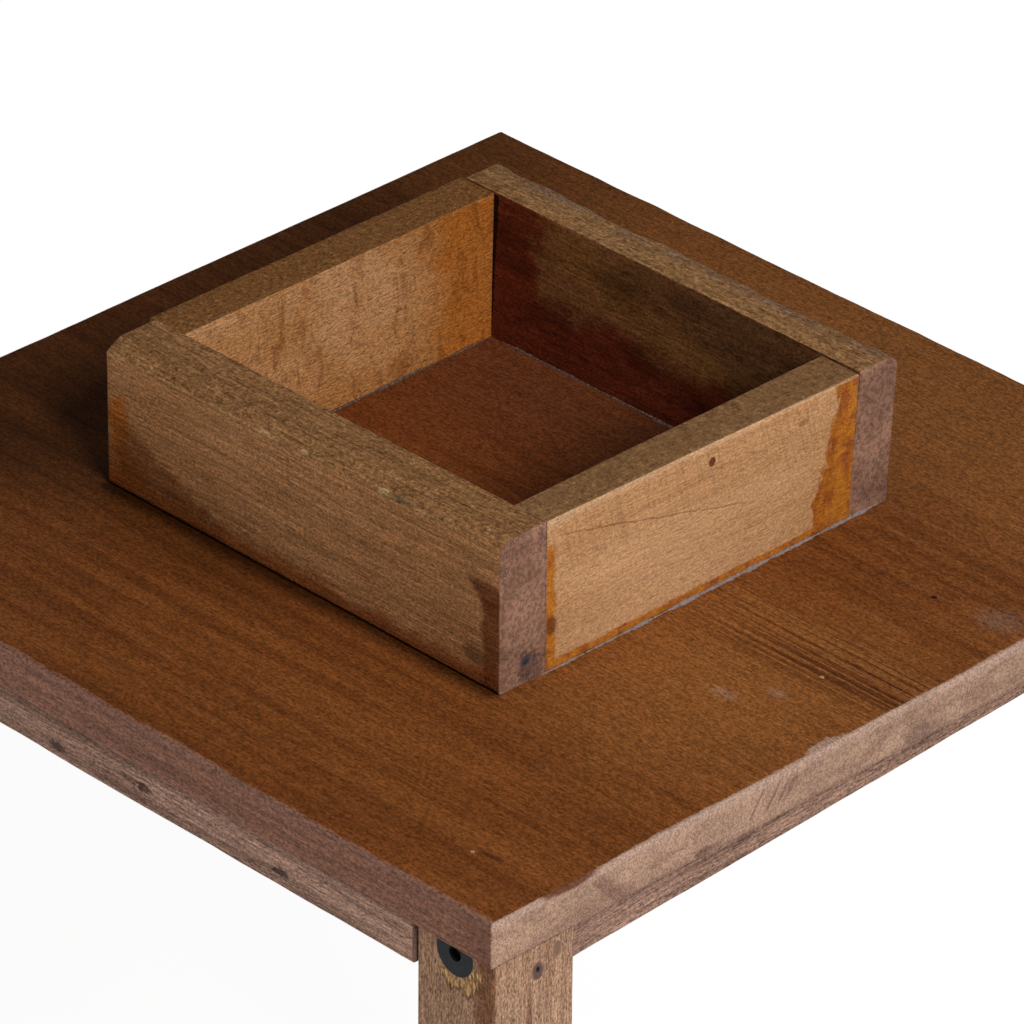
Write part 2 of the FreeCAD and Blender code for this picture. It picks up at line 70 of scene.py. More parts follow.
class Surface:
    """A procedural material being built. `place` is the point in the object's own space, in millimetres."""

    def __init__(self, name):
        self.material = bpy.data.materials.new(name)
        self.material.use_nodes = True
        self.tree = self.material.node_tree
        self.tree.nodes.clear()
        source = self.node("ShaderNodeTexCoord")
        lengths = self.vector("MULTIPLY", source.outputs["Object"], (1000, 1000, 1000))
        self.place = self.vector("SUBTRACT", lengths, (MARK_X, MARK_Y, 0))
        parts = self.node("ShaderNodeSeparateXYZ")
        self.put(parts.inputs[0], self.place)
        self.x, self.y, self.z = parts.outputs
        normal = self.node("ShaderNodeSeparateXYZ")
        self.put(normal.inputs[0], source.outputs["Normal"])
        self.nx, self.ny, self.nz = normal.outputs

    def node(self, kind, **settings):
        made = self.tree.nodes.new(kind)
        for key, value in settings.items():
            setattr(made, key, value)
        return made

    def put(self, socket, value):
        if isinstance(value, bpy.types.NodeSocket):
            self.tree.links.new(value, socket)
        else:
            socket.default_value = value

    def math(self, operation, first, second=0.0, third=0.0):
        made = self.node("ShaderNodeMath", operation=operation)
        for socket, value in zip(made.inputs, (first, second, third)):
            self.put(socket, value)
        return made.outputs[0]

    def vector(self, operation, first, second):
        made = self.node("ShaderNodeVectorMath", operation=operation)
        self.put(made.inputs[0], first)
        self.put(made.inputs[1], second)
        return made.outputs["Value"] if operation == "LENGTH" else made.outputs["Vector"]

    def combine(self, x, y, z):
        made = self.node("ShaderNodeCombineXYZ")
        for socket, value in zip(made.inputs, (x, y, z)):
            self.put(socket, value)
        return made.outputs[0]

    def noise(self, sizes, detail=2.0, rough=0.5, distortion=0.0, shift=0.0, place=None):
        """Noise whose features are about `sizes` millimetres long on each axis."""
        rates = tuple(1 / size for size in sizes)
        scaled = self.vector("MULTIPLY", place or self.place, rates)
        moved = self.vector("ADD", scaled, (shift, shift * 0.7, shift * 1.3))
        made = self.node("ShaderNodeTexNoise")
        self.put(made.inputs["Vector"], moved)
        self.put(made.inputs["Scale"], 1.0)
        self.put(made.inputs["Detail"], detail)
        self.put(made.inputs["Roughness"], rough)
        self.put(made.inputs["Distortion"], distortion)
        return made.outputs["Fac"]

    def step(self, value, low, high):
        """A mask: 0 at low, 1 at high, smooth between them. low may be the larger one."""
        made = self.node("ShaderNodeMapRange", interpolation_type="SMOOTHSTEP", clamp=True)
        self.put(made.inputs["Value"], value)
        self.put(made.inputs["From Min"], min(low, high))
        self.put(made.inputs["From Max"], max(low, high))
        self.put(made.inputs["To Min"], 0.0 if low < high else 1.0)
        self.put(made.inputs["To Max"], 1.0 if low < high else 0.0)
        return made.outputs[0]

    def all_of(self, *masks):
        result = masks[0]
        for mask in masks[1:]:
            result = self.math("MULTIPLY", result, mask)
        return result

    def between(self, value, low, high):
        """A mask that rises over the pair `low` and falls again over the pair `high`."""
        return self.all_of(self.step(value, *low), self.step(value, high[1], high[0]))

    def slope(self, first, rate, second):
        """A slanted axis: `second` plus `rate` times `first`."""
        return self.math("MULTIPLY_ADD", first, rate, second)

    def wavy(self, value, wave, amount):
        """A value pushed up and down by a noise."""
        return self.math("MULTIPLY_ADD", self.math("SUBTRACT", wave, 0.5), amount * 2, value)

    def mix(self, factor, first, second, blend="MIX"):
        made = self.node("ShaderNodeMix", data_type="RGBA", blend_type=blend, clamp_factor=True)
        self.put(made.inputs[0], factor)
        self.put(made.inputs[6], first)
        self.put(made.inputs[7], second)
        return made.outputs[2]

    def tint(self, colour, mask, amount, second):
        """Mixes a colour towards another where the mask is 1, by an amount."""
        return self.mix(self.math("MULTIPLY", mask, amount), colour, second)

    def scaled(self, colour, factor):
        made = self.node("ShaderNodeVectorMath", operation="SCALE")
        self.put(made.inputs[0], colour)
        self.put(made.inputs["Scale"], factor)
        return made.outputs["Vector"]

    def shade(self, colour, mask, amount):
        """Darkens a colour: the mask 0 leaves it, the mask 1 multiplies it by `amount`."""
        return self.scaled(colour, self.math("MULTIPLY_ADD", mask, amount - 1.0, 1.0))

    def vary(self, colour, grains, strength):
        """Lightens and darkens a colour about its own value with a noise."""
        swing = self.math("SUBTRACT", self.step(grains, 0.3, 0.7), 0.5)
        return self.scaled(colour, self.math("MULTIPLY_ADD", swing, 2 * strength, 1.0))

    def blob(self, centre, size, wave=None, ragged=0.35, soft=0.2):
        """A mask around a point, with its half sizes in millimetres and a ragged edge."""
        away = self.vector("SUBTRACT", self.place, centre)
        scaled = self.vector("DIVIDE", away, size)
        distance = self.vector("LENGTH", scaled, (0, 0, 0))
        if wave is not None:
            distance = self.wavy(distance, wave, ragged)
        return self.step(distance, 1 + soft, 1 - soft)

    def spot(self, colour, second, amount, centre, size, *edge):
        """Mixes a colour towards another inside a blob. `edge` is its wave, raggedness and softness."""
        return self.tint(colour, self.blob(centre, size, *edge), amount, second)

    def finish(self, colour, roughness, height, depth, specular=0.35):
        """Ends the shader. `depth` is the relief in millimetres."""
        shader = self.node("ShaderNodeBsdfPrincipled")
        self.put(shader.inputs["Base Color"], colour)
        self.put(shader.inputs["Roughness"], roughness)
        self.put(shader.inputs["Specular IOR Level"], specular)
        bump = self.node("ShaderNodeBump")
        self.put(bump.inputs["Strength"], 1.0)
        self.put(bump.inputs["Distance"], depth * MM)
        self.put(bump.inputs["Height"], height)
        self.put(shader.inputs["Normal"], bump.outputs[0])
        out = self.node("ShaderNodeOutputMaterial")
        self.put(out.inputs[0], shader.outputs[0])
        return self.material


WOOD_SPECULAR = 0.06


def along(grain, across, length):
    """Noise sizes for a grain axis: `length` along the grain, `across` on the other two."""
    return tuple(length if axis == grain else across for axis in "XYZ")


def wood(name, grain, base, light, dark, rough=0.5, fibre=0.12, band=0.35, pore=0.35, depth=0.25, shift=0.0,
         decorate=None, speckle=0.42, pore_level=0.62, strand=0.14):
    """Sawn wood: broad patches, growth bands, fibres, open pores and a fine speckle.

    `fibre`, `strand`, `speckle`, `band` and `pore` are strengths and `depth` is the relief in millimetres.
    `shift` moves the figure so that no two boards match, and `decorate` adds the marks of one piece."""
    s = Surface(name)
    patch = s.noise(along(grain, 45, 130), 3.0, 0.55, 0.4, shift)
    bands = s.noise(along(grain, 7.5, 260), 3.0, 0.55, 0.5, shift + 3.1)
    fibres = s.noise(along(grain, 1.3, 55), 3.0, 0.65, 0.2, shift + 5.7)
    strands = s.noise(along(grain, 0.7, 9), 2.0, 0.6, 0.1, shift + 7.7)
    pores = s.noise(along(grain, 0.5, 4.5), 1.0, 0.5, 0.0, shift + 9.2)
    fine = s.noise(along(grain, 1.0, 1.7), 2.0, 0.75, 0.0, shift + 1.9)
    colour = s.mix(s.step(patch, 0.34, 0.66), base, light)
    colour = s.tint(colour, s.step(bands, 0.40, 0.68), band, dark)
    if decorate is not None:
        colour = decorate(s, colour)
    for grains, strength in ((fibres, fibre), (strands, strand), (fine, speckle)):
        colour = s.vary(colour, grains, strength)
    pore_mask = s.step(pores, pore_level, pore_level + 0.08)
    colour = s.shade(colour, pore_mask, 1 - pore)
    relief = s.math("MULTIPLY_ADD", strands, 0.5, s.math("MULTIPLY", fine, 0.6))
    relief = s.math("MULTIPLY_ADD", pore_mask, -0.5, relief)
    roughness = s.math("MULTIPLY_ADD", fibres, 0.2, rough - 0.1)
    return s.finish(colour, roughness, relief, depth, WOOD_SPECULAR)


# ---------------------------------------------------------------- meshes
def shake(point):
    """Small unevenness of hand-worked wood, the same for every piece at the same place."""
    slow = noise.noise_vector(point * 16) * 0.30 * MM
    quick = noise.noise_vector(point * 85) * 0.10 * MM
    return point + slow + quick


def outline(width, height, radii, spacing, scale):
    """Points round a worn rectangle, as (across, up). Each corner has a radius across and up; a third value
    flattens it towards a plain chamfer. The corners go round from low across, low up."""
    arc_steps = 5
    corners = [(0, 0, 180), (width, 0, 270), (width, height, 0), (0, height, 90)]
    counts = [max(1, round(side / spacing)) for side in (width, height, width, height)]
    arcs = []
    for (x, y, start), radius in zip(corners, radii):
        rx, ry = radius[0] * scale, radius[1] * scale
        flat = radius[2] if len(radius) > 2 else 0.0
        middle_x = x + rx if x == 0 else x - rx
        middle_y = y + ry if y == 0 else y - ry
        arc = []
        for i in range(arc_steps + 1):
            angle = math.radians(start + 90 * i / arc_steps)
            arc.append((middle_x + rx * math.cos(angle), middle_y + ry * math.sin(angle)))
        first, last = arc[0], arc[-1]
        for i in range(arc_steps + 1):
            t = i / arc_steps
            chord = (first[0] + (last[0] - first[0]) * t, first[1] + (last[1] - first[1]) * t)
            arc[i] = (arc[i][0] + (chord[0] - arc[i][0]) * flat, arc[i][1] + (chord[1] - arc[i][1]) * flat)
        arcs.append(arc)
    points = []
    for index, arc in enumerate(arcs):
        points += arc
        here, there = arc[-1], arcs[(index + 1) % 4][0]
        for i in range(1, counts[index]):
            t = i / counts[index]
            points.append((here[0] + (there[0] - here[0]) * t, here[1] + (there[1] - here[1]) * t))
    return points


# Degrees of turn at the rings that round a board's ends.
EASE_ANGLES = (90, 67, 45, 22)
# How quickly the wear of the edges changes, per metre.
SLOW_WEAR = 45
QUICK_WEAR = 170
# Edges flatter than this many degrees are shaded smooth.
SMOOTH_UNDER = 50


def end_stations(length, end_radius, spacing):
    """Where the rings along a board stand, as (distance along it, how far its sides pull in)."""
    ease = []
    for angle in EASE_ANGLES:
        turn = math.radians(angle)
        ease.append((end_radius * (1 - math.sin(turn)), end_radius * (1 - math.cos(turn))))
    straight = length - 2 * end_radius
    count = max(2, round(straight / spacing))
    middle = [(end_radius + straight * i / count, 0.0) for i in range(count + 1)]
    return ease + middle + [(length - offset, inset) for offset, inset in reversed(ease)]


def slab(name, cage, length, width, height, radii, end_radius, rounded=(1, 1, 1, 1), spacing=6 * MM, wear=0.4,
         angle=SMOOTH_UNDER):
    """A board with worn edges. cage(a, b, c) places the unit cube: a along it, b across, c up.
    `rounded` says which of the four sides (b low, b high, c low, c high) are eased at its ends.
    The ends, with their eased edges, take the second material."""
    b_low, b_high, c_low, c_high = rounded
    mesh = bmesh.new()
    rings = []
    for offset, inset in end_stations(length, end_radius, spacing):
        a = offset / length
        middle = cage(a, 0.5, 0.5)
        scale = 1 + wear * noise.noise(middle * SLOW_WEAR) + 0.5 * wear * noise.noise(middle * QUICK_WEAR)
        ring = []
        for across, up in outline(width, height, radii, spacing, max(scale, 0.3)):
            b, c = across / width, up / height
            across += inset * (b_low * (1 - b) - b_high * b)
            up += inset * (c_low * (1 - c) - c_high * c)
            ring.append(mesh.verts.new(shake(cage(a, across / width, up / height))))
        rings.append(ring)
    last_eased = len(rings) - 1 - len(EASE_ANGLES)
    for index, (first, second) in enumerate(zip(rings, rings[1:])):
        eased = index < len(EASE_ANGLES) or index >= last_eased
        for face in join(mesh, first, second):
            face.material_index = 1 if eased else 0
    for cap in (rings[0][::-1], rings[-1]):
        mesh.faces.new(cap).material_index = 1
    bmesh.ops.recalc_face_normals(mesh, faces=mesh.faces)
    return to_object(name, mesh, angle)


def join(mesh, first, second):
    """The band of faces between two rings of points."""
    total = len(first)
    faces = []
    for i in range(total):
        j = (i + 1) % total
        faces.append(mesh.faces.new((first[i], first[j], second[j], second[i])))
    return faces


def to_object(name, mesh, angle=SMOOTH_UNDER):
    data = bpy.data.meshes.new(name)
    mesh.to_mesh(data)
    mesh.free()
    data.shade_smooth()
    data.set_sharp_from_angle(angle=math.radians(angle))
    made = bpy.data.objects.new(name, data)
    bpy.context.scene.collection.objects.link(made)
    return made


def straight_cage(low, high):
    """A plain box between two corners, running along X."""
    size = high - low

    def place(a, b, c):
        return Vector((low.x + size.x * a, low.y + size.y * b, low.z + size.z * c))
    return place


def dress(made, body, slot, nodes, *materials):
    for material in materials:
        made.data.materials.append(material)
    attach(made, body)
    if nodes:
        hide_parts(*nodes)
    return made


# ---------------------------------------------------------------- materials
# Near-black painted shade for the feet of the box walls and its inner corners.
PAINTED_GAP_SHADE = tone(18, 10, 8)
PALE_GRIT = tone(206, 176, 156)
FRONT_DRY = tone(135, 93, 74)
RIGHT_DRY = tone(166, 136, 118)
SAW_LINE = tone(98, 62, 50)
AMBER = tone(176, 104, 20)
RUST = tone(139, 66, 22)

# Where faces lie, in the millimetres that the marks are placed in.
BOARD_FRONT = -238
BOARD_RIGHT = 243.4
BOARD_Z = 600
BOX_FRONT = -116
BOX_RIGHT = 121
LEG_FRONT = -237.1
LEG_RIGHT = 243


def board_patches_and_painted_shadow(s, colour, wide):
    """Broad lighter patches on the stain, and the box's soft shadow painted as darker wood to its left and in
    front of it.
    """
    colour = s.spot(colour, tone(146, 92, 46), 0.7, (178, -45, BOARD_Z), (75, 60, 60), wide, 0.4, 0.8)
    colour = s.spot(colour, tone(138, 88, 46), 0.7, (60, 205, BOARD_Z), (240, 75, 60), wide, 0.4, 0.8)
    # Painted shadow of the box: the board darkens towards the left.
    colour = s.shade(colour, s.step(s.wavy(s.x, wide, 60.0), -90, -230), 0.62)
    # Painted shadow of the box in front of its left part.
    painted_shadow_front = s.all_of(s.between(s.y, (-165, -120), (-112, -100)), s.step(s.x, 40, -60))
    colour = s.shade(colour, painted_shadow_front, 0.62)
    # Painted soft shadow of the box at its left.
    painted_shadow_left = s.all_of(s.step(s.wavy(s.x, wide, 20.0), -105, -135), s.step(s.y, 230, 140),
                           s.step(s.wavy(s.y, wide, 30.0), -175, -130))
    return s.shade(colour, painted_shadow_left, 0.78)


def board_streaks(s, colour):
    """Dark growth lines that fan out at the box's right, with paler wood beside them."""
    streak = s.noise((300, 1.5, 5), 3.0, 0.6, 0.6, 12.8)
    veer = s.slope(s.x, -0.06, s.y)
    dark = s.all_of(s.between(veer, (-34, -14), (0, 16)), s.step(s.x, 122, 190), s.step(streak, 0.46, 0.58))
    colour = s.tint(colour, dark, 0.75, tone(66, 28, 14))
    faint = s.all_of(s.between(veer, (-56, -40), (10, 26)), s.step(s.x, 121, 128), s.step(streak, 0.52, 0.44))
    colour = s.tint(colour, faint, 0.45, tone(150, 98, 52))
    pale = s.noise((120, 3, 5), 3.0, 0.6, 0.6, 2.8)
    right_side = s.all_of(s.step(s.x, 121, 126), s.step(s.y, -110, -80), s.step(pale, 0.5, 0.7))
    return s.tint(colour, right_side, 0.4, tone(140, 92, 52))


def board_shade_and_wear(s, colour, ragged):
    """Painted shade along the box's foot, and worn, dented and splashed spots."""
    # Painted shade on the board along the box's front foot.
    painted_foot_shade = s.all_of(s.step(s.wavy(s.y, ragged, 2.5), -126, -117), s.step(s.y, -100, -110),
                     s.between(s.x, (-126, -122), (117, 123)))
    colour = s.shade(colour, painted_foot_shade, 0.35)
    grit = s.noise((2.2, 2.2, 2.2), 3.0, 0.7, 0.3, 11.1)
    worn = tone(160, 124, 100)
    colour = s.spot(colour, worn, 0.4, (184, -46, BOARD_Z), (7, 3.4, 4), grit, 1.6, 0.5)
    colour = s.spot(colour, worn, 0.4, (200, -30, BOARD_Z), (5, 2.6, 4), grit, 1.6, 0.5)
    colour = s.spot(colour, tone(124, 100, 88), 0.4, (225, 81, BOARD_Z), (10, 8, 4), grit, 1.6, 0.5)
    colour = s.spot(colour, tone(60, 32, 22), 0.6, (207, -204, BOARD_Z), (7, 1.6, 3), grit, 1.2, 0.4)
    colour = s.spot(colour, tone(200, 160, 120), 0.8, (199, -207, BOARD_Z), (1.0, 0.8, 3))
    colour = s.spot(colour, tone(50, 14, 10), 0.9, (192, 75, BOARD_Z), (1.6, 1.2, 3))
    return s.spot(colour, tone(190, 160, 130), 0.9, (204, -7, BOARD_Z), (1.2, 0.9, 3))


def box_floor(s, colour, wide):
    """The board's face inside the box: redder, dusty at the back, and darker and greyer at the right with the
    right wall's painted shadow.
    """
    inner = s.all_of(s.between(s.x, (-104, -102), (99, 101)), s.between(s.y, (-92, -90), (99, 101)))
    colour = s.tint(colour, inner, 0.45, tone(108, 48, 22))
    colour = s.tint(colour, s.all_of(inner, s.step(s.y, -10, 80)), 0.5, tone(96, 56, 36))
    # Painted shadow of the right wall: the floor darkens towards the right and turns a patchy grey.
    colour = s.shade(colour, s.all_of(inner, s.step(s.wavy(s.x, wide, 16.0), -60, 60)), 0.42)
    patchy_shadow = s.step(s.noise((120, 6, 10), 3.0, 0.6, 0.4, 9.9), 0.40, 0.60)
    return s.tint(colour, s.all_of(inner, s.step(s.x, -20, 80), patchy_shadow), 0.6, tone(62, 42, 34))


def board_edges(s, colour, unmarked, ragged, wide):
    """The stain stops in a wavy line inside the front and right arrises; below it the wood is bare."""
    dry_front = s.step(s.wavy(s.wavy(s.y, wide, 3.0), ragged, 1.8), -236.2, -237.8)
    dry_right = s.step(s.wavy(s.wavy(s.x, wide, 2.0), ragged, 1.4), 241.4, 242.6)
    chip = s.blob((243, -45, BOARD_Z), (4.5, 12, 4), ragged, 0.6, 0.2)
    dip = s.blob((243, -195, BOARD_Z), (5, 16, 6), ragged, 0.2, 0.1)
    dry_right = s.math("SUBTRACT", s.math("MAXIMUM", dry_right, chip), dip)
    colour = s.tint(colour, dry_front, 0.92, FRONT_DRY)
    colour = s.tint(colour, dry_right, 0.92, RIGHT_DRY)
    front_face = s.step(s.ny, -0.5, -0.8)
    lines = s.step(s.noise((150, 3, 2.2), 3.0, 0.6, 0.2, 8.8), 0.45, 0.65)
    colour = s.tint(colour, s.all_of(front_face, lines), 0.45, SAW_LINE)
    colour = s.tint(colour, s.all_of(front_face, s.step(s.x, 215, 239)), 0.5, tone(104, 66, 50))
    # A lighter dusty band under the top arris, which also serves as the arris's painted highlight.
    dusty = s.all_of(front_face, s.step(s.wavy(s.z, ragged, 1.6), 595, 598))
    colour = s.tint(colour, dusty, 0.4, tone(128, 98, 86))
    bare = s.tint(unmarked, 1.0, 0.55, FRONT_DRY)
    bare = s.tint(bare, lines, 0.45, SAW_LINE)
    under_and_back = s.math("MAXIMUM", s.step(s.nz, -0.5, -0.8), s.step(s.ny, 0.6, 0.8))
    return s.mix(under_and_back, colour, bare)


def board_marks(s, unmarked):
    """The board's stain, streaks, painted shadows and shade, and worn marks."""
    ragged = s.noise((7, 7, 7), 4.0, 0.65, 0.2, 4.4)
    wide = s.noise((60, 60, 60), 2.0, 0.5, 0.0, 7.3)
    colour = board_patches_and_painted_shadow(s, unmarked, wide)
    colour = board_streaks(s, colour)
    colour = board_shade_and_wear(s, colour, ragged)
    colour = box_floor(s, colour, wide)
    return board_edges(s, colour, unmarked, ragged, wide)


board_wood = wood("board_wood", "X", tone(114, 64, 29), tone(126, 73, 34), tone(84, 42, 16), rough=0.5,
                  decorate=board_marks, depth=0.2, fibre=0.10, strand=0.16, pore=0.25, band=0.5)


def nail_stains(s, colour):
    """Dark blotches round the nails in the front batten."""
    ragged = s.noise((1.6, 1.6, 1.6), 3.0, 0.7, 0.3, 5.1)
    for x, z in ((118, 566.1), (34, 568.6), (-20, 564.5)):
        colour = s.spot(colour, tone(58, 42, 38), 0.8, (x, BOARD_FRONT, z), (4.4, 5, 2.2), ragged, 1.2, 0.3)
    return s.spot(colour, tone(70, 50, 44), 0.6, (26, BOARD_FRONT, 569.5), (9, 5, 1.2), ragged, 1.2, 0.3)


def edge_wood(name, grain, shift=0.0, gain=1.0, decorate=None):
    """Bare, greyed wood with open grain. `gain` scales its brightness."""
    base = tone(126, 97, 82, gain)
    light = tone(144, 113, 97, gain)
    dark = tone(84, 58, 48, gain)
    return wood(name, grain, base, light, dark, rough=0.75, shift=shift, depth=0.4, fibre=0.28, strand=0.26,
                pore=0.5, band=0.5, speckle=0.4, decorate=decorate)


def end_grain(name, base, light, dark, shift=0.0, decorate=None, grit_size=1.1):
    """Sawn end grain: gritty, with blotches."""
    s = Surface(name)
    patch = s.noise((22, 22, 22), 3.0, 0.55, 0.3, shift)
    grit = s.noise((grit_size, grit_size, grit_size), 3.0, 0.75, 0.0, shift + 2.0)
    colour = s.mix(s.step(patch, 0.35, 0.65), base, light)
    if decorate is not None:
        colour = decorate(s, colour)
    colour = s.vary(colour, grit, 0.5)
    colour = s.tint(colour, s.step(grit, 0.60, 0.70), 0.5, dark)
    colour = s.tint(colour, s.step(grit, 0.36, 0.30), 0.6, PALE_GRIT)
    roughness = s.math("MULTIPLY_ADD", grit, 0.2, 0.65)
    return s.finish(colour, roughness, grit, 0.35, WOOD_SPECULAR)


def board_end_marks(s, colour):
    """Dry sawn end: a dusty arris, slanted saw lines, a few darker figures and a run of stain."""
    ragged = s.noise((6, 6, 6), 3.0, 0.6, 0.3, 3.3)
    cloud = s.noise((14, 26, 9), 3.0, 0.6, 0.5, 6.1)
    figure = tone(104, 70, 62)
    colour = s.tint(colour, s.step(cloud, 0.48, 0.66), 0.45, tone(116, 84, 72))
    slant = s.combine(s.slope(s.z, -0.7, s.y), s.x, 0.0)
    saw = s.step(s.noise((3.6, 200, 200), 2.0, 0.5, 0.0, 9.4, slant), 0.57, 0.66)
    sawn = s.blob((BOARD_RIGHT, -91, 591), (9, 32, 7), ragged, 0.8, 0.4)
    colour = s.tint(colour, s.all_of(saw, sawn), 0.6, figure)
    wedge = s.all_of(s.between(s.slope(s.z, 0.9, s.y), (351, 353), (357, 365)), s.step(s.z, 597, 592))
    colour = s.tint(colour, wedge, 0.5, figure)
    colour = s.spot(colour, tone(92, 58, 56), 0.7, (BOARD_RIGHT, -117, 581), (5, 7, 2.0), ragged, 0.9, 0.3)
    colour = s.spot(colour, tone(92, 66, 62), 0.5, (BOARD_RIGHT, 10, 582), (5, 8, 6), ragged, 0.8, 0.5)
    dusty = s.step(s.wavy(s.z, ragged, 2.4), 594, 598.5)
    colour = s.tint(colour, dusty, 0.45, tone(178, 150, 136))
    low = s.step(s.wavy(s.z, ragged, 1.4), 581.3, 579.3)
    colour = s.tint(colour, low, 0.35, tone(110, 84, 74))
    run = (BOARD_RIGHT, -195, 600.2)
    return s.spot(colour, tone(92, 50, 23), 0.9, run, (6, 15, 3.2), ragged, 0.3, 0.3)


board_end = end_grain("board_end_grain", tone(150, 119, 99), tone(163, 130, 109), tone(108, 78, 66),
                      decorate=board_end_marks, grit_size=1.0)
# Lit and shaded copies of one wood: the front batten's is painted lighter, to offset the shade under the
# board's edge, and the right batten's is darker.
batten_skin = edge_wood("batten_skin", "X", 0.0, 1.45, nail_stains)
batten_side_skin = edge_wood("batten_side_skin", "Y", 6.0, 1.12)
batten_end = end_grain("batten_end_grain", tone(96, 74, 64), tone(116, 90, 76), tone(56, 40, 34), 4.0)


def flecked(s, colour, where):
    """Pale and dark flecks on the rubbed upper faces of the box."""
    fleck = s.noise((3.0, 3.0, 3.0), 4.0, 0.8, 0.2, 17.3)
    colour = s.tint(colour, s.all_of(where, s.step(fleck, 0.53, 0.63)), 0.5, tone(164, 130, 86))
    return s.tint(colour, s.all_of(where, s.step(fleck, 0.47, 0.38)), 0.55, tone(80, 48, 26))


def front_wall_stains(s, colour, ragged):
    """Glue stains along the foot and at both ends."""
    foot = s.step(s.wavy(s.z, ragged, 9.0), 613, 604)
    colour = s.tint(colour, foot, 0.7, RUST)
    colour = s.spot(colour, tone(168, 94, 30), 0.85, (-115, BOX_FRONT, 634), (7, 30, 12), ragged, 0.6, 0.3)
    colour = s.spot(colour, tone(156, 78, 22), 0.65, (-114, BOX_FRONT, 611), (15, 30, 13), ragged, 0.8, 0.4)
    left_slope = s.slope(s.x, 0.42, s.z)
    warm = s.all_of(s.step(s.wavy(left_slope, ragged, 9.0), 592, 584),
                    s.between(s.x, (-123, -112), (-60, -40)))
    colour = s.tint(colour, warm, 0.65, tone(120, 66, 28))
    front_face = s.step(s.ny, -0.5, -0.8)
    right_slope = s.slope(s.x, 1.1, s.z)
    streak = s.all_of(s.step(s.wavy(right_slope, ragged, 5.0), 760, 766), front_face, s.step(s.z, 634, 642),
                      s.step(s.wavy(s.z, ragged, 5.0), 655, 650), s.step(s.wavy(s.x, ragged, 4.0), 99, 104))
    colour = s.tint(colour, streak, 0.75, tone(96, 46, 26))
    end_stain = s.all_of(s.step(s.wavy(s.x, ragged, 4.0), 109, 113), s.step(s.z, 650, 640), front_face)
    colour = s.tint(colour, end_stain, 0.75, tone(104, 50, 22))
    return s.spot(colour, tone(70, 44, 30), 0.5, (106, BOX_FRONT, 614), (6, 20, 4), ragged, 0.9, 0.4)


def front_wall_marks(s, colour):
    """Glue stains on the face, a line of painted shade under it, and a pale rubbed line with painted
    highlight spots along the crest.
    """
    colour = front_wall_stains(s, colour, s.noise((13, 13, 10), 4.0, 0.65, 0.5, 3.7))
    # Painted shade: a near-black line along the wall's foot.
    colour = s.tint(colour, s.step(s.z, 602.2, 600.8), 1.0, PAINTED_GAP_SHADE)
    top = s.step(s.nz, 0.45, 0.6)
    colour = s.tint(colour, top, 0.75, tone(124, 86, 52))
    colour = flecked(s, colour, top)
    rise = s.slope(s.x, -0.0123, s.z)
    lower_crest = s.all_of(s.between(rise, (665.6, 666.6), (667.6, 669.0)), s.step(s.ny, -0.1, -0.3))
    rubbed = s.noise((16, 3, 3), 4.0, 0.75, 0.3, 14.2)
    colour = s.tint(colour, s.all_of(lower_crest, s.step(rubbed, 0.47, 0.60)), 0.4, tone(176, 140, 96))
    grit = s.noise((2.0, 1.6, 1.6), 3.0, 0.7, 0.3, 11.1)
    # Painted highlights: pale spots along the crest.
    chip = tone(196, 172, 128)
    for x, z, half in ((-22, 667.0, 6), (2, 667.8, 2.4), (50, 668.6, 3)):
        colour = s.spot(colour, chip, 0.5, (x, -114.5, z), (half, 5, 0.8), grit, 1.2, 0.3)
    return s.spot(colour, tone(70, 74, 58), 0.6, (61, -113.5, 669.0), (6, 5, 0.7), grit, 1.4, 0.3)


front_wall_wood = wood("front_wall_wood", "X", tone(174, 124, 80), tone(190, 138, 92), tone(134, 90, 54),
                       rough=0.6, decorate=front_wall_marks, shift=2.0, fibre=0.24, strand=0.20, pore=0.25,
                       band=0.4)


def right_wall_stains(s, colour, outer, ragged, deep):
    """Amber glue stains at both ends and along the foot."""
    lean = s.slope(s.z, -0.22, s.y)
    back = s.step(s.wavy(lean, ragged, 17.0), -61, -57)
    foot = s.step(s.wavy(s.z, ragged, 2.2), 605.0, 603.6)
    front = s.all_of(s.step(s.wavy(s.y, ragged, 4.0), -82.5, -84.5),
                     s.step(s.wavy(s.z, ragged, 6.0), 664, 658))
    amber = s.math("MAXIMUM", s.math("MAXIMUM", back, foot), front)
    stain = s.mix(s.step(deep, 0.45, 0.66), AMBER, tone(140, 66, 14))
    rim = s.step(s.wavy(lean, ragged, 17.0), -49, -57)
    colour = s.tint(colour, s.all_of(outer, amber), 0.88, stain)
    return s.tint(colour, s.all_of(outer, rim, back), 0.4, tone(120, 56, 16))


